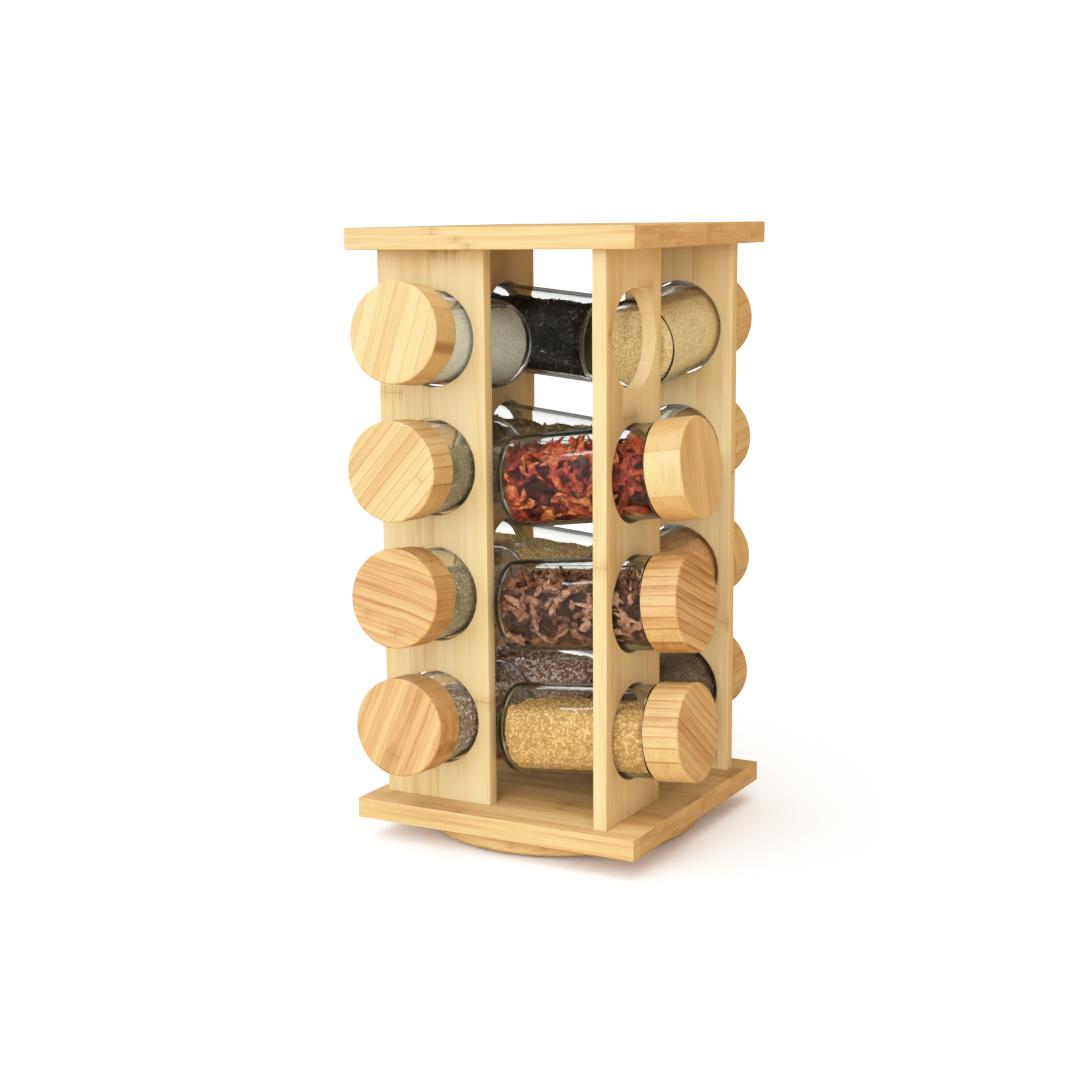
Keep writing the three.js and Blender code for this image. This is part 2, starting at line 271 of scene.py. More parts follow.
class Graph:
    """Builds the nodes of one material, or of the world. A value may be a number, a colour, a vector or
    another node's output."""

    def __init__(self, name, world=False):
        self.owner = (bpy.data.worlds if world else bpy.data.materials).new(name)
        self.owner.use_nodes = True
        self.tree = self.owner.node_tree
        self.tree.nodes.clear()
        self.output = self.node("OutputWorld" if world else "OutputMaterial")

    def node(self, kind, **settings):
        made = self.tree.nodes.new("ShaderNode" + kind)
        for key, value in settings.items():
            setattr(made, key, value)
        return made

    def put(self, socket, value):
        if isinstance(value, bpy.types.NodeSocket):
            self.tree.links.new(value, socket)
        else:
            socket.default_value = value

    def math(self, operation, *values, clamp=False):
        made = self.node("Math", operation=operation, use_clamp=clamp)
        for socket, value in zip(made.inputs, values):
            self.put(socket, value)
        return made.outputs[0]

    def total(self, *values):
        """The sum of any number of values."""
        result = values[0]
        for value in values[1:]:
            result = self.math("ADD", result, value)
        return result

    def vector(self, operation, *values):
        made = self.node("VectorMath", operation=operation)
        for socket, value in zip(made.inputs, values):
            self.put(socket, value)
        return made.outputs[0]

    def attribute(self, name):
        return self.node("Attribute", attribute_name=name)

    def split(self, vector):
        made = self.node("SeparateXYZ")
        self.put(made.inputs[0], vector)
        return made.outputs

    def join(self, x, y, z):
        made = self.node("CombineXYZ")
        for socket, value in zip(made.inputs, (x, y, z)):
            self.put(socket, value)
        return made.outputs[0]

    def noise(self, vector, scale, detail=2.0, roughness=0.5, distortion=0.0):
        made = self.node("TexNoise")
        self.put(made.inputs["Vector"], vector)
        made.inputs["Scale"].default_value = scale
        made.inputs["Detail"].default_value = detail
        made.inputs["Roughness"].default_value = roughness
        made.inputs["Distortion"].default_value = distortion
        return made.outputs["Fac"]

    def cell(self, vector):
        """A random number for each whole-numbered cell of the vector."""
        made = self.node("TexWhiteNoise", noise_dimensions="3D")
        self.put(made.inputs["Vector"], self.vector("FLOOR", vector))
        return made.outputs["Value"]

    def ramp(self, factor, stops):
        made = self.node("ValToRGB")
        elements = made.color_ramp.elements
        while len(elements) < len(stops):
            elements.new(0.5)
        for element, (place, colour) in zip(elements, stops):
            element.position = place
            element.color = (*colour, 1)
        self.put(made.inputs[0], factor)
        return made.outputs[0]

    def mix(self, factor, first, second):
        made = self.node("Mix", data_type="RGBA")
        self.put(made.inputs[0], factor)
        for socket, value in ((made.inputs[6], first), (made.inputs[7], second)):  # the colour sockets
            self.put(socket, (*value, 1) if isinstance(value, tuple) else value)
        return made.outputs[2]

    def remap(self, value, start, end, low, high, **settings):
        """Takes a value that runs from start to end to one that runs from low to high and stays there."""
        made = self.node("MapRange", **settings)
        for key, number in (("From Min", start), ("From Max", end), ("To Min", low), ("To Max", high)):
            made.inputs[key].default_value = number
        self.put(made.inputs["Value"], value)
        return made.outputs[0]

    def swing(self, value, size):
        """A value between 0 and 1 as a swing about nothing, size wide in all."""
        return self.math("MULTIPLY", self.math("SUBTRACT", value, 0.5), size)

    def band(self, value, centre, width):
        """1 at the centre, falling to 0 at a distance of the width."""
        away = self.math("ABSOLUTE", self.math("SUBTRACT", value, centre))
        return self.math("SUBTRACT", 1.0, self.math("DIVIDE", away, width), clamp=True)

    def bump(self, height, distance, strength):
        made = self.node("Bump")
        made.inputs["Strength"].default_value = strength
        made.inputs["Distance"].default_value = distance
        self.put(made.inputs["Height"], height)
        return made.outputs[0]

    def principled(self, values):
        made = self.node("BsdfPrincipled")
        for key, value in values.items():
            self.put(made.inputs[key], value)
        return made

    def finish(self, shader):
        self.put(self.output.inputs["Surface"], shader)
        return self.owner


def cut_end(g, length):
    """1 on the faces that are square to the wood's length in the piece's own frame, and 0 along the fibre."""
    facing = g.split(g.vector("MULTIPLY", g.node("TexCoord").outputs["Normal"], length))
    facing = g.math("ABSOLUTE", g.math("ADD", g.math("ADD", facing[0], facing[1]), facing[2]))
    return g.math("MULTIPLY", g.math("SUBTRACT", facing, 0.55), 4.0, clamp=True)


def bamboo(
    name, tones, strip, layer, seam, streak, bend=0.0, node_every=0.29, length=(1, 0, 0), ends=END_LEVEL
):
    """Bamboo laminate in three tones from pale to dark. Strips lie side by side across the grain and in
    layers through it, each with its own tint and darker towards one edge, with fine fibres, longer streaks, a
    thin glue line between strips and a node mark now and then. The cut ends, square to the length in the
    piece's own frame, show fine lines in place of the streaks, and ends says which way the lines run."""
    pale, middle, dark = tones
    brown = tuple(c * w for c, w in zip(dark, GLUE_TINT))
    g = Graph(name)
    across, depth, along = g.split(g.attribute("grain").outputs["Vector"])
    sway = g.math("SUBTRACT", g.noise(g.join(0.0, 0.0, along), 18, 2), 0.5)
    across = g.math("ADD", across, g.math("MULTIPLY", sway, 0.6 * MM + bend))

    # The strips, each with a tint and a lean of its own
    strip_place = g.math("DIVIDE", across, strip)
    layer_place = g.math("DIVIDE", depth, layer)
    edge = g.math("FRACT", strip_place)
    tint = g.cell(g.join(strip_place, layer_place, 0.0))
    lean = g.cell(g.join(strip_place, layer_place, 7.0))
    slope = g.math("MULTIPLY", g.math("POWER", edge, 2.0), lean)

    # The fibre and its streaks, which fade on the cut ends
    own = g.math("ADD", across, g.math("MULTIPLY", tint, 7.3))
    fibre = g.noise(g.join(own, depth, g.math("MULTIPLY", along, 0.012)), 2300, 3, 0.6)
    grain = g.noise(g.join(own, depth, g.math("MULTIPLY", along, 0.035)), 480, 3, 0.6, 0.4)
    vein = g.noise(g.join(own, depth, g.math("MULTIPLY", along, 0.05)), 210, 2, 0.5, 0.5)
    cloud = g.noise(g.join(across, depth, g.math("MULTIPLY", along, 0.4)), 60, 2)
    lines = g.noise(g.vector("MULTIPLY", g.join(across, depth, 0.3), (*ends, 1.0)), 950, 3, 0.6)
    cut = cut_end(g, length)
    streaks = g.math("ADD", g.swing(grain, 1.6 * streak), g.swing(vein, 1.3 * streak))
    streaks = g.math("MULTIPLY", streaks, g.math("SUBTRACT", 1.0, g.math("MULTIPLY", cut, 0.85)))
    tone = g.total(
        g.swing(fibre, 0.85),
        streaks,
        g.math("MULTIPLY", g.swing(lines, 1.1), cut),
        g.swing(tint, 0.25 + 0.18 * seam),
        g.swing(cloud, 0.35),
        g.math("MULTIPLY", slope, 0.42 * seam),
        0.45,
    )
    colour = g.ramp(tone, [(0.08, pale), (0.50, middle), (0.95, dark)])

    # The glue lines
    glue = GLUE_WIDTH / strip
    near = g.math("MAXIMUM", g.band(edge, 0.0, glue), g.band(edge, 1.0, glue))
    colour = g.mix(g.math("MULTIPLY", near, seam), colour, brown)

    # The node marks: narrow bands in which the fibre is denser
    curve = g.swing(g.noise(g.join(across, depth, 0.0), 70, 1), 2.5 * MM)
    place = g.math("DIVIDE", g.math("ADD", along, curve), node_every)
    place = g.math("FRACT", g.math("ADD", place, g.math("MULTIPLY", tint, 9.7)))
    mark = g.band(place, 0.5, NODE_MARK / node_every)
    halo = g.band(place, 0.5, NODE_HALO / node_every)
    dashes = g.math("MULTIPLY", g.math("SUBTRACT", fibre, 0.46), 5.0, clamp=True)
    colour = g.mix(g.math("MULTIPLY", g.math("MULTIPLY", halo, dashes), 0.8), colour, brown)
    colour = g.mix(g.math("MULTIPLY", halo, 0.25), colour, dark)
    colour = g.mix(g.math("MULTIPLY", mark, 0.35), colour, brown)

    height = g.math("ADD", g.math("MULTIPLY", fibre, 0.6), g.math("MULTIPLY", near, -1.2 * seam))
    shader = g.principled(
        {
            "Base Color": colour,
            "Roughness": g.math("ADD", 0.40, g.math("MULTIPLY", fibre, 0.22)),
            "Normal": g.bump(height, 0.06 * MM, 0.6),
            "Coat Weight": 0.12,
            "Coat Roughness": 0.35,
        }
    )
    return g.finish(shader.outputs[0])


def clear_glass():
    """Clear glass with a faint ripple and a tinted body, which lets light through to the spice."""
    g = Graph("jar_glass")
    ripple = g.noise(g.node("TexCoord").outputs["Object"], 90, 2)
    shader = g.principled(
        {
            "Base Color": (0.985, 0.995, 0.985, 1),
            "Roughness": 0.01,
            "IOR": 1.46,
            "Transmission Weight": 1.0,
            "Normal": g.bump(ripple, 0.5 * MM, 0.12),
        }
    )
    through = g.node("BsdfTransparent")
    through.inputs[0].default_value = (0.97, 0.98, 0.97, 1)
    choose = g.node("MixShader")
    g.put(choose.inputs[0], g.node("LightPath").outputs["Is Shadow Ray"])
    g.put(choose.inputs[1], shader.outputs[0])
    g.put(choose.inputs[2], through.outputs[0])
    absorb = g.node("VolumeAbsorption")
    absorb.inputs["Color"].default_value = (0.50, 0.56, 0.46, 1)
    absorb.inputs["Density"].default_value = 18
    g.put(g.output.inputs["Volume"], absorb.outputs[0])
    return g.finish(choose.outputs[0])


def silicone():
    """Milky silicone for the seals."""
    g = Graph("seal_silicone")
    dust = g.noise(g.node("TexCoord").outputs["Object"], 900, 2)
    shader = g.principled(
        {
            "Base Color": g.ramp(dust, [(0.3, (0.78, 0.74, 0.64)), (0.7, (0.86, 0.83, 0.75))]),
            "Roughness": 0.35,
            "IOR": 1.41,
            "Subsurface Weight": 0.5,
            "Subsurface Radius": (0.006, 0.005, 0.004),
            "Normal": g.bump(dust, 0.03 * MM, 0.5),
        }
    )
    return g.finish(shader.outputs[0])


def zinc_steel():
    """Zinc-plated steel with a faint spangle, for the bearing."""
    g = Graph("bearing_steel")
    spangle = g.noise(g.node("TexCoord").outputs["Object"], 220, 4)
    shader = g.principled(
        {
            "Base Color": g.ramp(spangle, [(0.3, (0.50, 0.51, 0.52)), (0.7, (0.66, 0.67, 0.68))]),
            "Metallic": 1.0,
            "Roughness": g.math("ADD", 0.28, g.math("MULTIPLY", spangle, 0.2)),
            "Normal": g.bump(spangle, 0.04 * MM, 0.4),
        }
    )
    return g.finish(shader.outputs[0])


def foot_rubber():
    """Matt black rubber for the pads."""
    g = Graph("foot_rubber")
    pebble = g.noise(g.node("TexCoord").outputs["Object"], 1500, 2)
    shader = g.principled(
        {
            "Base Color": g.ramp(pebble, [(0.3, (0.018, 0.018, 0.019)), (0.7, (0.035, 0.035, 0.036))]),
            "Roughness": 0.78,
            "Normal": g.bump(pebble, 0.08 * MM, 0.7),
        }
    )
    return g.finish(shader.outputs[0])


def spice(name, colours, size, contrast, gloss):
    """The look of one spice, from its dark to its light colour. The tone attribute picks the colour of each
    piece, and cells of the given size in metres make the grains of a powder or seed, each darker towards its
    edge as painted shade in the gaps between grains."""
    g = Graph(name)
    tone = g.attribute("tone").outputs["Fac"]
    place = g.node("TexCoord").outputs["Object"]
    warp = g.noise(place, 0.35 / size, 2)
    cells = g.node("TexVoronoi")
    nudge = g.math("MULTIPLY", warp, size)
    g.put(cells.inputs["Vector"], g.vector("ADD", place, g.join(nudge, nudge, nudge)))
    cells.inputs["Scale"].default_value = 1 / size
    cells.inputs["Randomness"].default_value = 1.0
    grain = g.split(cells.outputs["Color"])[0]
    # Each cell darker towards its edge: painted shade in the gaps between grains
    painted_gap_shade = g.math("MULTIPLY", g.math("POWER", cells.outputs["Distance"], 2.0), 1.3)
    fine = g.noise(place, 1.6 / size, 3, 0.65)
    drift = g.noise(place, 110, 2)
    mixed = g.total(tone, g.swing(grain, contrast), g.swing(fine, 0.8 * contrast), g.swing(drift, 0.5))
    mixed = g.math("SUBTRACT", mixed, g.math("MULTIPLY", painted_gap_shade, contrast))
    stops = [(0.06 + 0.88 * i / (len(colours) - 1), c) for i, c in enumerate(colours)]
    height = g.math("ADD", g.math("MULTIPLY", cells.outputs["Distance"], -1.0), g.math("MULTIPLY", fine, 0.4))
    shader = g.principled(
        {
            "Base Color": g.ramp(mixed, stops),
            "Roughness": 0.8 - 0.45 * gloss,
            "Normal": g.bump(height, 0.3 * size, 0.9),
            "Coat Weight": gloss,
            "Coat Roughness": 0.25,
        }
    )
    return g.finish(shader.outputs[0])


def between(first, second, share):
    """Three tones of wood, the given share of the way from the first set to the second."""
    return [tuple(a + (b - a) * share for a, b in zip(*pair)) for pair in zip(first, second)]


# ---------------------------------------------------------------- the frame

def dress(piece, body, slot, material, *nodes):
    """Gives a piece its material and its body, and hides the CAD nodes that it replaces. The slot is not
    used.
    """
    piece.data.materials.append(material)
    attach(piece, body)
    if nodes:
        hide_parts(*nodes)
    return piece


def square_boards():
    """The base board and the top board, both lying flat with their grain along X."""
    wood = bamboo("board_bamboo", between(PLAIN, TOASTED, 0.5), 19 * MM, 3.7 * MM, 0.35, 0.8)
    for index, node in enumerate(("base_board", "top_board")):
        low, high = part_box(node)
        half = high.x
        corners = [(-half, -half), (half, -half), (half, half), (-half, half)]
        mesh = flat_board(node, corners, [], high.z - low.z, BOARD_EDGE)
        set_grain(mesh, (0, 0, 1), (0, 1, 0), (1, 0, 0), (0.004, 0.0005, 0.31 + index))
        lie = Matrix.Translation((0, 0, low.z)) @ Matrix.Rotation(math.pi / 2, 4, "X")
        piece = new_object("board_" + node.split("_")[0], mesh, lie)
        dress(piece, "carousel", "bamboo", wood, node)


def uprights():
    """One board with its column of holes, made four times and turned about the middle."""
    tones = between(PALE, PLAIN, 0.35)
    wood = bamboo("upright_bamboo", tones, 17 * MM, 7.5 * MM, 0.15, 0.42, length=(0, 0, 1))
    low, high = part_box("upright_a")
    middle = (low.z + high.z) / 2
    centre = (low.x + high.x) / 2
    outline = [(low.x, low.z), (high.x, low.z), (high.x, high.z), (low.x, high.z)]
    rows = [middle + ((ROWS - 1) / 2 - row) * HOLE_PITCH for row in range(ROWS)]
    holes = [circle_points(centre, z, HOLE_RADIUS, 96) for z in rows]
    for index, (column, turn) in enumerate(TURNS.items()):
        mesh = flat_board("upright_board_" + column, outline, holes, high.y - low.y, UPRIGHT_EDGE)
        mesh.transform(Matrix.Translation((0, low.y, 0)))
        set_grain(mesh, (1, 0, 0), (0, 1, 0), (0, 0, 1), (0.5 + 0.013 * index, 0.0625, 0.37 * index))
        place = Matrix.Rotation(math.radians(turn), 4, "Z")
        piece = new_object("upright_board_" + column, mesh, place)
        dress(piece, "carousel", "bamboo", wood, "upright_" + column)


def foot():
    """The round foot, with a rounded rim and the pocket for the bearing."""
    low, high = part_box("foot_disc")
    radius, thickness = high.x, high.z - low.z
    rim = radius - FOOT_EDGE_RADIUS
    floor = thickness - FOOT_POCKET_DEPTH
    profile = [(0, 0), (rim - 1 * MM, 0)]
    profile += arc((rim, FOOT_EDGE_RADIUS), FOOT_EDGE_RADIUS, -90, 0, 8)
    profile += arc((rim, thickness - FOOT_EDGE_RADIUS), FOOT_EDGE_RADIUS, 0, 90, 8)
    profile += [(FOOT_POCKET_RADIUS, thickness), (FOOT_POCKET_RADIUS, floor), (0, floor)]
    mesh = turned("foot_plate", profile, 128)
    set_grain(mesh, (0, 1, 0), (0, 0, 1), (1, 0, 0), (0.003, 0.001, 0.5))
    wood = bamboo("foot_bamboo", between(PLAIN, TOASTED, 0.2), 19 * MM, 4.2 * MM, 0.3, 0.55)
    piece = new_object("foot_plate", mesh, Matrix.Translation((0, 0, low.z)))
    dress(piece, "foot", "bamboo", wood, "foot_disc")


def rubber_pads():
    """The pads under the foot, each hollow in the middle."""
    rubber = foot_rubber()
    for number in range(1, 5):
        node = f"rubber_foot_{number}"
        low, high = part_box(node)
        radius, thickness = (high.x - low.x) / 2, high.z - low.z
        edge = radius - PAD_EDGE
        profile = [(0, PAD_DISH), (radius * 0.62, PAD_DISH), (radius * 0.7, 0), (edge, 0)]
        profile += arc((edge, PAD_EDGE), PAD_EDGE, -60, 0, 3)
        profile += [(radius, thickness), (0, thickness)]
        centre = Matrix.Translation(((low.x + high.x) / 2, (low.y + high.y) / 2, low.z))
        piece = new_object(f"rubber_pad_{number}", turned(f"rubber_pad_{number}", profile, 48), centre)
        dress(piece, "foot", "rubber", rubber, node)


def bearing():
    """The bearing keeps its CAD shapes and gets only its steel."""
    steel = zinc_steel()
    for node in ("bearing_lower_plate", "bearing_upper_plate", "bearing_ball_cage", "bearing_eyelet"):
        data = frame["nodes"][node].data
        data.materials.clear()
        data.materials.append(steel)


# ---------------------------------------------------------------- the jars

def jar_frame(jar):
    """The jar's local frame: Z along its axis towards the lid, Y upwards, X to the right as seen from
    outside, and the origin at the middle of the lid's underside."""
    out = JOINT_AXES[f"jar_{jar}_slide"].normalized()
    right = Vector((0, 0, 1)).cross(out).normalized()
    up = out.cross(right)
    points = coordinates(frame["nodes"]["jar_lid_" + jar].data)
    sides = points @ np.array([right, up]).T
    middle = (sides.min(0) + sides.max(0)) / 2
    face = (points @ np.array(out)).max()
    origin = right * middle[0] + up * middle[1] + out * (face - LID_HEIGHT)
    matrix = Matrix((right, up, out)).transposed().to_4x4()
    matrix.translation = origin
    return matrix


def spread_along(jar, kind):
    """The radius of a jar's glass, seal or lid about the jar's axis, and its two ends along it."""
    local = jar_frame(jar).inverted()
    points = coordinates(frame["nodes"][kind + jar].data) @ np.array(local.to_3x3()).T
    points += np.array(local.translation)
    return np.hypot(points[:, 0], points[:, 1]).max(), points[:, 2].min(), points[:, 2].max()


def jar_body_mesh(jar):
    """A glass with an inner wall, a rounded lip, a crowned base and small beads round its heel."""
    radius, end, mouth = spread_along(jar, "jar_glass_")
    inside = radius - JAR_WALL
    floor = end + JAR_BASE
    heel, inner = JAR_HEEL, JAR_INNER_HEEL
    lip = JAR_WALL / 2
    profile = [(0, end + JAR_CROWN), (radius * 0.45, end + 0.7 * MM), (radius * 0.70, end + 0.25 * MM)]
    heel_start = len(profile)
    profile += arc((radius - heel, end + heel), heel, -90, 0, HEEL_STEPS)
    profile += [(radius, end + heel + RING_GAP), (radius, mouth - lip - RING_GAP)]
    profile += arc((radius - lip, mouth - lip), lip, 0, 180, 6)
    profile += [(inside, mouth - lip - RING_GAP), (inside, floor + inner + RING_GAP)]
    profile += arc((inside - inner, floor + inner), inner, 0, -90, 5)
    profile += [(radius * 0.4, floor + 0.3 * MM), (0, floor + 0.4 * MM)]

    def bead(index, angle):
        step = index - heel_start
        if not 0 < step < BEAD_STEPS:
            return 0
        return BEAD_HEIGHT * max(0, math.cos(BEADS * angle)) * math.sin(math.pi * step / BEAD_STEPS)

    return turned("jar_body_" + jar, profile, BEADS * BEAD_SEGMENTS, 60, bead)


def seal_mesh(jar):
    """A sleeve on the plug with one rib, and a flange between the lid and the jar's mouth."""
    radius, low, high = spread_along(jar, "jar_seal_")
    sleeve = SEAL_RADIUS - SEAL_RIB
    flange = high - SEAL_FLANGE
    profile = [(SEAL_BORE, low), (sleeve, low), (SEAL_RADIUS, low + 0.5 * MM)]
    profile += [(SEAL_RADIUS, low + 0.9 * MM), (sleeve, low + 1.3 * MM)]
    profile += [(sleeve, flange), (radius - 0.2 * MM, flange)]
    profile += arc((radius - SEAL_ROUND, flange + 0.37 * MM), SEAL_ROUND, -60, 60, 3)
    profile += [(SEAL_BORE, high)]
    return turned("seal_ring_" + jar, profile, 72, 30)


def lid_mesh(jar):
    """A turned disc with a short plug under it."""
    radius, _, face = spread_along(jar, "jar_lid_")
    edge, under = LID_EDGE, LID_EDGE * 0.6
    plug = PLUG_RADIUS - PLUG_EDGE
    profile = [(0, -PLUG_DEPTH), (plug, -PLUG_DEPTH)]
    profile += arc((plug, PLUG_EDGE - PLUG_DEPTH), PLUG_EDGE, -60, 0, 3)
    profile += [(PLUG_RADIUS, 0), (radius - under, 0)]
    profile += arc((radius - under, under), under, -60, 0, 3)
    profile += [(radius, under + RING_GAP), (radius, face - edge - RING_GAP)]
    profile += arc((radius - edge, face - edge), edge, 0, 90, 5)
    profile += [(radius - edge - RING_GAP, face), (radius * 0.6, face), (radius * 0.3, face), (0, face)]
    return turned("lid_wood_" + jar, profile, 96, 40)


# The slant of each lid's strips on its face, in degrees from level as seen from outside, the strips' width in
# mm, the strength of their glue lines, how toasted and how streaky the bamboo is, and its bend in mm.
LIDS = {
    "a1": (76, 7.5, 0.75, 0.15, 0.35, 1.0),
    "a2": (49, 5.2, 1.00, 0.15, 0.40, 1.5),
    "a3": (-12, 5.2, 0.55, 1.10, 0.95, 5.0),
    "a4": (69, 9.0, 0.35, 1.00, 0.80, 2.0),
    "b2": (90, 8.5, 0.30, 0.20, 0.45, 1.0),
    "b3": (-24, 4.9, 0.95, 1.00, 0.85, 3.0),
    "b4": (-38, 4.6, 1.00, 0.60, 0.75, 1.5),
    "c1": (20, 6.0, 0.60, 0.35, 0.40, 1.0),
    "c2": (-8, 5.4, 0.80, 0.35, 0.50, 2.0),
    "c3": (80, 7.0, 0.40, 0.25, 0.40, 1.0),
    "c4": (35, 5.2, 0.70, 0.60, 0.60, 3.0),
    "d1": (-60, 6.2, 0.50, 0.25, 0.40, 1.0),
    "d2": (12, 5.0, 0.80, 0.60, 0.55, 2.0),
    "d3": (88, 7.8, 0.35, 0.15, 0.35, 1.0),
    "d4": (-35, 5.5, 0.65, 0.45, 0.50, 2.0),
}


def jar_set(jar, glass, rubber):
    """One jar's glass, its seal and its lid, which is cut from its own piece of bamboo."""
    place = jar_frame(jar)
    body = new_object("jar_body_" + jar, jar_body_mesh(jar), place)
    dress(body, "jar_" + jar, "glass", glass, "jar_glass_" + jar)
    seal = new_object("seal_ring_" + jar, seal_mesh(jar), place)
    dress(seal, "lid_" + jar, "silicone", rubber, "jar_seal_" + jar)
    slant, strip, seam, toast, streak, bend = LIDS[jar]
    angle = math.radians(slant)
    across = (-math.sin(angle), math.cos(angle), 0)
    along = (math.cos(angle), math.sin(angle), 0)
    offset = 0.31 * (1 + JARS.index(jar))
    mesh = lid_mesh(jar)
    set_grain(mesh, across, (0, 0, 1), along, (offset, 0.065, 1.7 * offset))
    tones = between(PLAIN, TOASTED, toast)
    name = "lid_bamboo_" + jar
    wood = bamboo(
        name, tones, strip * MM, LID_LAYER, seam, streak, bend * MM, LID_NODES, along, END_UPRIGHT
    )
    lid = new_object("lid_wood_" + jar, mesh, place)
    dress(lid, "lid_" + jar, "bamboo_lid", wood, "jar_lid_" + jar)


# ---------------------------------------------------------------- the spice in the jars

def fill_mesh(jar, name, fill, slope, lumps, seed):
    """The body of the spice: the jar's inside up to a level surface that is lumpy and may slope down towards
    the lid. fill is the surface's height at the jar's end, in inside radii from the axis."""
    radius, end, _ = spread_along(jar, "jar_glass_")
    place = jar_frame(jar)
    lean = math.asin(place.col[2][2])
    inside = radius - JAR_WALL - FILL_GAP
    start = end + JAR_BASE + FILL_LOW
    stop = -PLUG_DEPTH - FILL_HIGH
    rng = np.random.default_rng(seed)
    ranges = ((80, 420), (80, 420), (0, 6.3), (0.3, 1))  # two wave numbers, a phase and a height
    waves = [[rng.uniform(*span) for span in ranges] for _ in range(FILL_WAVES)]

    def surface(x, z):
        height = fill * inside - (z - start) * (math.tan(lean) + slope)
        return height + lumps * sum(a * np.sin(p * x + q * z + c) for p, q, c, a in waves) / 5

    vertices, rings = [], []
    for i in range(FILL_STATIONS + 1):
        share = i / FILL_STATIONS
        z = start + (stop - start) * share
        round_off = 0.86 + 0.14 * math.sin(min(1.0, share * 18) * math.pi / 2)  # drawn in at the jar's heel
        ring = []
        for k in range(FILL_AROUND):
            angle = 2 * math.pi * k / FILL_AROUND
            x = inside * round_off * math.sin(angle)
            y = -inside * round_off * math.cos(angle)
            top = max(surface(x, z), -0.97 * math.sqrt(max(inside ** 2 - x ** 2, 0)))
            ring.append(len(vertices))
            vertices.append((x, min(y, top), z))
        rings.append(ring)
    faces = []
    for lower, upper in zip(rings, rings[1:]):
        faces += band_faces(lower, upper)
    faces.append(tuple(reversed(rings[0])))
    faces.append(tuple(rings[-1]))
    mesh = new_mesh(name, vertices, faces, 180)
    weld(mesh)
    return mesh


def set_tone(mesh, values):
    """Stores each vertex's tone, from dark to light, for the spice's material."""
    attribute = mesh.attributes.new("tone", "FLOAT", "POINT")
    attribute.data.foreach_set("value", np.asarray(values, np.float32))


def scatter_points(mesh, count, sink, rng):
    """Random places on a mesh, spread evenly by area and sunk below it, with the surface's normals."""
    mesh.calc_loop_triangles()
    points = coordinates(mesh)
    triangles = np.empty(len(mesh.loop_triangles) * 3, int)
    mesh.loop_triangles.foreach_get("vertices", triangles)
    a, b, c = (points[triangles.reshape(-1, 3)[:, i]] for i in range(3))
    normals = np.cross(b - a, c - a)
    areas = np.linalg.norm(normals, axis=1)
    chosen = rng.choice(len(areas), count, p=areas / areas.sum())
    u, v = rng.random((2, count))
    flip = u + v > 1
    u[flip], v[flip] = 1 - u[flip], 1 - v[flip]
    normals = normals[chosen] / areas[chosen][:, None]
    places = a[chosen] + u[:, None] * (b - a)[chosen] + v[:, None] * (c - a)[chosen]
    return places - normals * sink, normals


def random_turns(normals, flatness, rng):
    """A rotation for each normal whose third axis is near it, nearer as flatness goes from 0 to 1."""
    count = len(normals)
    third = normals * flatness + rng.normal(size=(count, 3)) * (1 - flatness)
    third /= np.linalg.norm(third, axis=1)[:, None]
    first = np.cross(third, rng.normal(size=(count, 3)))
    first /= np.linalg.norm(first, axis=1)[:, None]
    return np.stack([first, np.cross(third, first), third], axis=2)


def copies(shapes, places, turns, sizes, rng):
    """One vertex array, face list and tone array holding a copy of a random shape at each place."""
    vertices, faces, tones = [], [], []
    base = 0
    for place, turn, size in zip(places, turns, sizes):
        points, polygons = shapes[rng.integers(len(shapes))]
        vertices.append((points * size) @ turn.T + place)
        faces += [tuple(base + i for i in f) for f in polygons]
        tones.append(np.full(len(points), rng.random()))
        base += len(points)
    return np.concatenate(vertices), faces, np.concatenate(tones)


def closed_faces(rings, around):
    """The faces of a closed shape that is built as a tip, rings of points and another tip."""
    faces = [(0, 1 + (k + 1) % around, 1 + k) for k in range(around)]
    last = 1 + (rings - 1) * around
    for low in range(1, last, around):
        faces += band_faces(range(low, low + around), range(low + around, low + 2 * around))
    return faces + [(last + k, last + (k + 1) % around, last + around) for k in range(around)]


def blob(stretch, jitter, rng, rings=4, around=5):
    """A small closed grain, stretched along its axes, with uneven sides."""
    points = [(0, 0, -1)]
    for i in range(1, rings):
        height = math.cos(math.pi * (1 - i / rings))
        wide = math.sin(math.pi * i / rings)
        for k in range(around):
            angle = 2 * math.pi * (k + 0.5 * (i % 2)) / around
            points.append((wide * math.cos(angle), wide * math.sin(angle), height))
    points.append((0, 0, 1))
    points = np.array(points) * (1 + jitter * (rng.random((len(points), 1)) - 0.5)) * np.array(stretch)
    return points, closed_faces(rings - 1, around)


def pod(length, width, bend, wrinkle, rng, steps, around, flat=1.0):
    """A bent, tapering, wrinkled tube with closed ends: a dried chilli, a twig or a shard of bark."""
    points = []
    for i in range(steps):
        share = i / (steps - 1)
        swell = math.sin(math.pi * min(0.97, 0.12 + 0.88 * share ** 0.8)) ** 0.6
        x = bend * length * (share - 0.5) ** 2 * 4
        z = length * (share - 0.5)
        for k in range(around):
            angle = 2 * math.pi * k / around + 0.25 * i
            r = width * swell * (1 + wrinkle * (rng.random() - 0.5))
            points.append((x + r * math.cos(angle), flat * r * math.sin(angle), z))
    points = [(bend * length, 0, -length / 2 * 1.03), *points, (bend * length, 0, length / 2 * 1.03)]
    return np.array(points), closed_faces(steps, around)


def keep_inside(points, jar):
    """Moves points that reach the glass back inside it."""
    radius, end, _ = spread_along(jar, "jar_glass_")
    limit = radius - JAR_WALL - PIECE_GAP
    reach = np.hypot(points[:, 0], points[:, 1])
    scale = np.minimum(1.0, limit / np.maximum(reach, 1e-9))
    points[:, 0] *= scale
    points[:, 1] *= scale
    points[:, 2] = np.clip(points[:, 2], end + JAR_BASE + PIECE_LOW, -PLUG_DEPTH - PIECE_HIGH)
    return points


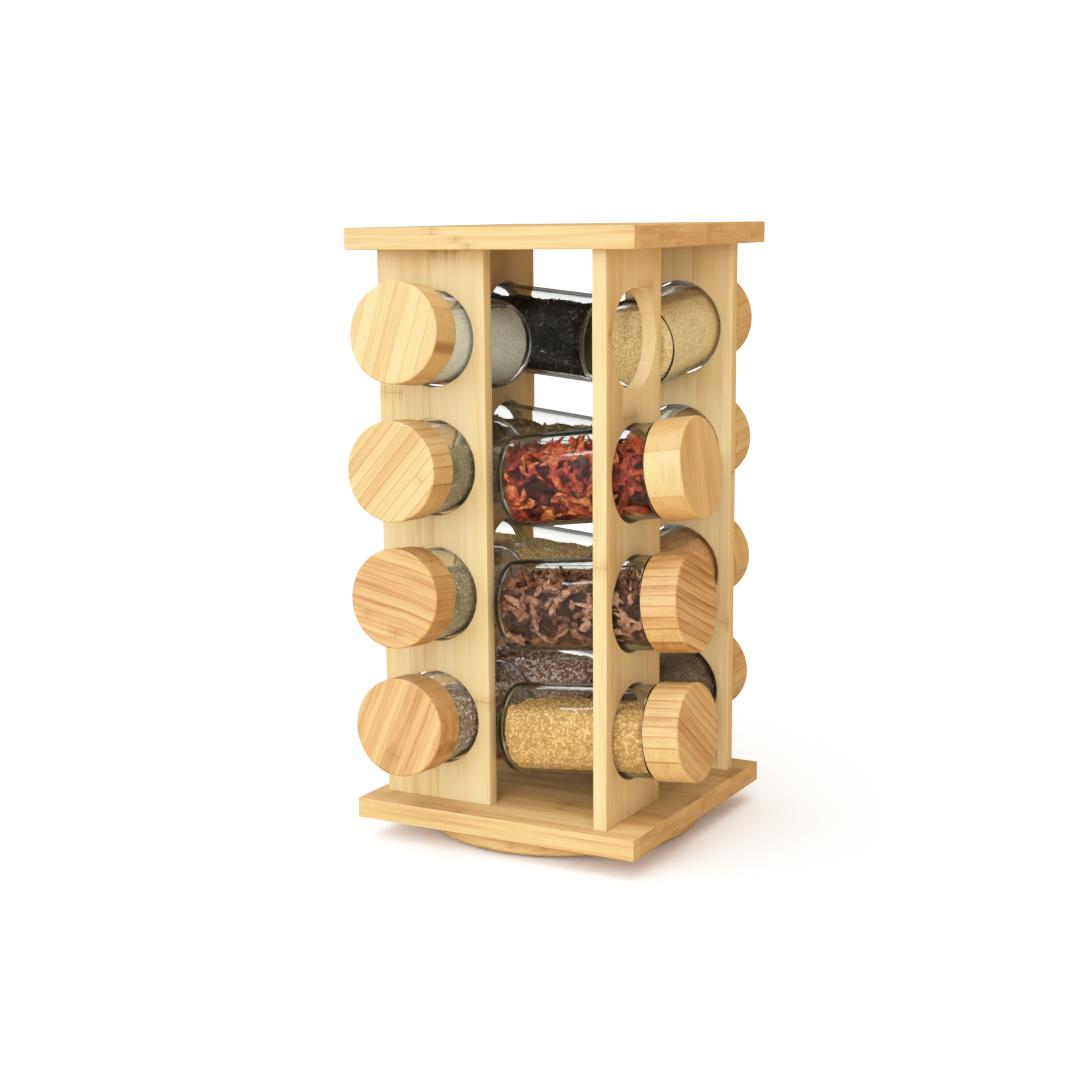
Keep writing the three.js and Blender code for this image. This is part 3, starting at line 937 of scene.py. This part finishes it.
# What each jar holds: its slot, its colours from dark to light, the size of its grains in mm, the fill's
# height at the jar's end in inside radii from the axis, the fill's slope and its lumps in mm, and how glossy
# it is. A last group gives loose pieces: how many, their size in mm, their shape, how flat they lie and how
# deep in mm.
SPICES = {
    "a1": ("spice_sage", ((0.58, 0.55, 0.41), (0.84, 0.82, 0.66), (0.93, 0.92, 0.78)),
           0.7, (0.86, -0.04, 0.5), 0.0, None),
    "a2": ("spice_herb", ((0.22, 0.18, 0.09), (0.55, 0.49, 0.33), (0.78, 0.73, 0.56)),
           1.2, (0.30, -0.10, 1.0), 0.0, (1500, 1.3, "leaf", 0.7, 0.5)),
    "a3": ("spice_seed", ((0.22, 0.17, 0.08), (0.55, 0.45, 0.27), (0.78, 0.68, 0.46)),
           1.1, (0.50, -0.10, 0.6), 0.1, (1500, 0.95, "seed", 0.4, 0.4)),
    "a4": ("spice_flake", ((0.22, 0.12, 0.08), (0.62, 0.50, 0.38), (0.90, 0.83, 0.74)),
           1.4, (0.45, -0.10, 0.6), 0.0, (2400, 1.1, "flake", 0.4, 0.4)),
    "b2": ("spice_chilli",
           ((0.03, 0.003, 0.001), (0.22, 0.015, 0.004), (0.42, 0.050, 0.010), (0.68, 0.22, 0.05)),
           2.6, (0.70, -0.10, 1.8), 0.6, (300, 6.3, "chilli", 0.6, 2.0)),
    "b3": ("spice_bark",
           ((0.03, 0.010, 0.004), (0.16, 0.054, 0.024), (0.32, 0.130, 0.066), (0.52, 0.27, 0.15)),
           2.2, (0.62, -0.06, 2.0), 0.1, (330, 5.9, "bark", 0.6, 1.8)),
    "b4": ("spice_sesame", ((0.50, 0.24, 0.06), (0.82, 0.47, 0.14), (0.93, 0.61, 0.22), (0.97, 0.76, 0.38)),
           1.5, (0.61, -0.08, 0.8), 0.1, (4200, 0.95, "seed", 0.6, 0.45)),
    "c1": ("spice_tan", ((0.56, 0.31, 0.09), (0.80, 0.49, 0.18), (0.92, 0.67, 0.34)),
           0.8, (0.86, -0.08, 0.7), 0.0, None),
    "c2": ("spice_salt", ((0.55, 0.53, 0.49), (0.78, 0.76, 0.72), (0.88, 0.87, 0.84)),
           0.9, (0.30, 0.0, 0.6), 0.2, (1400, 0.8, "flake", 0.3, 0.3)),
    "c3": ("spice_orange", ((0.32, 0.11, 0.03), (0.60, 0.24, 0.065), (0.76, 0.37, 0.12)),
           0.6, (0.86, -0.08, 0.5), 0.0, None),
    "c4": ("spice_pepper", ((0.04, 0.02, 0.008), (0.13, 0.07, 0.032), (0.28, 0.16, 0.08)),
           1.4, (0.82, -0.06, 0.6), 0.1, (1700, 1.1, "seed", 0.3, 0.5)),
    "d1": ("spice_black", ((0.004, 0.0035, 0.003), (0.022, 0.020, 0.019), (0.24, 0.22, 0.21)),
           1.6, (0.84, -0.09, 1.7), 0.3, (2600, 1.15, "seed", 0.35, 0.5)),
    "d2": ("spice_herb", ((0.14, 0.085, 0.022), (0.50, 0.36, 0.13), (0.80, 0.68, 0.42)),
           1.4, (0.80, -0.06, 2.6), 0.0, (1300, 1.6, "leaf", 0.7, 0.7)),
    "d3": ("spice_seed", ((0.38, 0.22, 0.06), (0.78, 0.51, 0.18), (0.93, 0.72, 0.36)),
           1.1, (0.68, -0.06, 0.6), 0.1, (2200, 0.95, "seed", 0.5, 0.45)),
    "d4": ("spice_flake", ((0.28, 0.11, 0.07), (0.85, 0.66, 0.56), (0.96, 0.90, 0.84)),
           1.5, (0.86, -0.06, 0.8), 0.0, (3300, 1.2, "flake", 0.5, 0.45)),
}
# How strongly the grains' own cells show, with the painted shade between them: weakly on pieces that are
# modelled one by one
CELL_CONTRAST = {"powder": 0.65, "seed": 0.45, "flake": 0.6, "leaf": 0.5, "chilli": 0.28, "bark": 0.32}
# Each chilli's and each shard of bark's bend and flatness
CHILLIES = ((0.10, 0.8), (0.30, 0.7), (0.50, 0.75), (0.2, 0.9), (0.38, 0.85), (0.6, 0.8))
SHARDS = ((0.1, 0.5), (0.45, 0.45), (0.25, 0.6), (0.6, 0.4), (0.35, 0.55), (0.15, 0.45))


def loose_shapes(rng):
    """A few shapes of each kind of loose piece, in units of its size."""
    return {
        "chilli": [pod(2.5, 0.40, bend, 0.38, rng, 13, 9, flat) for bend, flat in CHILLIES],
        "bark": [pod(2.7, 0.46, bend, 0.55, rng, 11, 8, flat) for bend, flat in SHARDS]
        + [pod(3.8, 0.16, 0.12, 0.4, rng, 9, 6)],
        "leaf": [pod(1.7, 0.5, bend, 0.5, rng, 5, 6, 0.16) for bend in (0.1, 0.4, 0.6)]
        + [pod(2.4, 0.09, 0.1, 0.3, rng, 5, 4)],
        "seed": [blob((0.5, 0.45, 1), 0.2, rng) for _ in range(6)],
        "flake": [blob((0.9, 0.75, 0.5), 0.6, rng) for _ in range(6)],
    }


def loose_pieces(jar, surface, shapes, loose, rng):
    """One mesh of loose pieces, strewn over the surface of the spice's body."""
    count, size, kind, flatness, depth = loose
    places, normals = scatter_points(surface, count, depth * MM, rng)
    turns = random_turns(normals, flatness, rng)
    if kind in ("chilli", "bark", "leaf"):  # long pieces lie along the surface
        turns = turns[:, :, [2, 1, 0]]
    sizes = size * MM * rng.uniform(0.75, 1.2, count)
    vertices, faces, tones = copies(shapes[kind], places, turns, sizes, rng)
    mesh = new_mesh("spice_pieces_" + jar, keep_inside(vertices, jar), faces, 180)
    set_tone(mesh, 0.2 + 0.75 * tones)
    return mesh


def spice_in(jar, shapes, seed):
    """The spice in one jar: a lumpy body and, where the spice is coarse, loose pieces over it, with the body
    under them darkened as painted shade.
    """
    slot, colours, size, (fill, slope, lumps), gloss, loose = SPICES[jar]
    kind = loose[2] if loose else "powder"
    rng = np.random.default_rng(seed)
    material = spice("spice_look_" + jar, colours, size * MM, CELL_CONTRAST[kind], gloss)
    place = jar_frame(jar)
    mesh = fill_mesh(jar, "spice_fill_" + jar, fill, slope, lumps * MM, seed)
    points = coordinates(mesh)
    if loose:
        pieces = new_object("spice_pieces_" + jar, loose_pieces(jar, mesh, shapes, loose, rng), place)
        dress(pieces, "jar_" + jar, slot, material)
        inset = 1 - min(0.25, loose[-1] * MM / FILL_RADIUS)
        points *= np.array([inset, inset, 1.0])
        # The body under the loose pieces takes the dark end of the spice's colours: painted shade deep in the
        # pile
        tones = np.full(len(points), 0.3 if kind in ("seed", "flake") else 0.1)
    else:
        points = keep_inside(points + rng.normal(size=points.shape) * 0.1 * MM, jar)
        tones = rng.random(len(points)) * 0.2 + 0.62
    mesh.vertices.foreach_set("co", points.ravel())
    set_tone(mesh, tones)
    dress(new_object("spice_fill_" + jar, mesh, place), "jar_" + jar, slot, material)


def jars():
    """Every jar with its seal, lid and spice."""
    glass = clear_glass()
    rubber = silicone()
    shapes = loose_shapes(np.random.default_rng(SHAPES_SEED))
    for number, jar in enumerate(JARS):
        jar_set(jar, glass, rubber)
        spice_in(jar, shapes, SPICE_SEED + number)


# ---------------------------------------------------------------- the studio

def camera():
    """The photograph's camera, turned about its own line of sight by the roll."""
    data = bpy.data.cameras.new("camera")
    data.sensor_width = 36
    data.lens = CAMERA_LENS
    data.shift_x, data.shift_y = CAMERA_SHIFT
    data.clip_start, data.clip_end = CAMERA_CLIP
    a, e, r = (math.radians(v) for v in (CAMERA_AZIMUTH, CAMERA_ELEVATION, CAMERA_ROLL))
    back = Vector((math.sin(a) * math.cos(e), -math.cos(a) * math.cos(e), math.sin(e)))
    level = Vector((0, 0, 1)).cross(back).normalized()
    above = back.cross(level)
    right = level * math.cos(r) - above * math.sin(r)
    up = level * math.sin(r) + above * math.cos(r)
    matrix = Matrix((right, up, back)).transposed().to_4x4()
    matrix.translation = Vector(CAMERA_PLACE)
    bpy.context.scene.camera = new_object("camera", data, matrix)


def area_light(name, place, target, size, power):
    """A rectangular lamp that faces its target."""
    data = bpy.data.lights.new(name, "AREA")
    data.shape = "RECTANGLE"
    data.size, data.size_y = size
    data.energy = power
    lamp = new_object(name, data)
    lamp.location = place
    lamp.rotation_euler = (Vector(target) - Vector(place)).to_track_quat("-Z", "Y").to_euler()
    return lamp


def paper_floor():
    """Pale paper. It throws back warm light, and a mirror sees it nearly black."""
    half = FLOOR_HALF
    corners = [(-half, -half, 0), (half, -half, 0), (half, half, 0), (-half, half, 0)]
    floor = new_object("floor", new_mesh("floor", corners, [(0, 1, 2, 3)]))
    g = Graph("floor_paper")
    fleck = g.noise(g.node("TexCoord").outputs["Object"], 300, 2)
    paper = g.ramp(fleck, [(0.3, (0.97, 0.94, 0.90)), (0.7, (0.98, 0.955, 0.915))])
    rays = g.node("LightPath").outputs
    seen = g.math("MAXIMUM", rays["Is Camera Ray"], rays["Is Transmission Ray"])
    colour = g.mix(seen, FLOOR_WARMTH, paper)
    mirrored = g.math("MULTIPLY", rays["Glossy Depth"], 1 - REFLECTED_SHARE, clamp=True)
    shader = g.principled({"Base Color": g.mix(mirrored, colour, FLOOR_MIRRORED), "Roughness": 0.9})
    floor.data.materials.append(g.finish(shader.outputs[0]))


def surroundings():
    """A plain white backdrop. Only the light that it throws is uneven, and anything that mirrors it mirrors
    dark flags beside the lamps."""
    g = Graph("studio", world=True)
    facing = g.node("VectorMath", operation="DOT_PRODUCT")
    g.put(facing.inputs[0], g.node("TexCoord").outputs["Generated"])
    g.put(facing.inputs[1], DIM_TOWARDS)
    lit = g.remap(facing.outputs["Value"], *DIM_BLEND, 1.0, 0.0, interpolation_type="SMOOTHSTEP")
    rays = g.node("LightPath").outputs
    seen = g.math("MAXIMUM", rays["Is Camera Ray"], rays["Is Transmission Ray"])
    background = g.node("Background")
    g.put(background.inputs["Color"], g.mix(g.math("MAXIMUM", seen, lit), WARM_SIDE, WHITE_SIDE))
    g.put(background.inputs["Strength"], g.remap(rays["Glossy Depth"], 0.0, 1.0, 1.0, REFLECTED_SHARE))
    bpy.context.scene.world = g.finish(background.outputs[0])


def lamps():
    """The soft suns, and two lamps that show in gloss. The glint lights nothing and shows only there."""
    for name, (direction, strength) in SUNS.items():
        sun = bpy.data.lights.new(name, "SUN")
        sun.energy = strength
        sun.angle = math.radians(SUN_SPREAD)
        lamp = new_object(name, sun)
        lamp.rotation_euler = Vector(direction).to_track_quat("Z", "Y").to_euler()
        lamp.visible_glossy = False
        lamp.visible_transmission = False
    area_light("strip", *STRIP)
    glint = area_light("glint", *GLINT)
    glint.visible_diffuse = False
    glint.visible_transmission = False


def light_paths(settings):
    """Enough bounces for the glass."""
    settings.max_bounces = settings.transmission_bounces = GLASS_BOUNCES
    settings.glossy_bounces = settings.transparent_max_bounces = OTHER_BOUNCES


def expose(view):
    """A gentle shoulder, so that the highlights roll off to white at twice the usual level."""
    view.view_transform = "Standard"
    view.use_curve_mapping = True
    view.curve_mapping.white_level = (WHITE_LEVEL, WHITE_LEVEL, WHITE_LEVEL)
    view.curve_mapping.extend = "HORIZONTAL"
    curve = view.curve_mapping.curves[3]
    for step in range(1, SHOULDER_STEPS):
        x = step / SHOULDER_STEPS
        curve.points.new(x, 1 - (1 - x) ** 2)
    view.curve_mapping.update()


camera()
paper_floor()
surroundings()
lamps()
expose(bpy.context.scene.view_settings)
light_paths(bpy.context.scene.cycles)
square_boards()
uprights()
foot()
rubber_pads()
bearing()
jars()
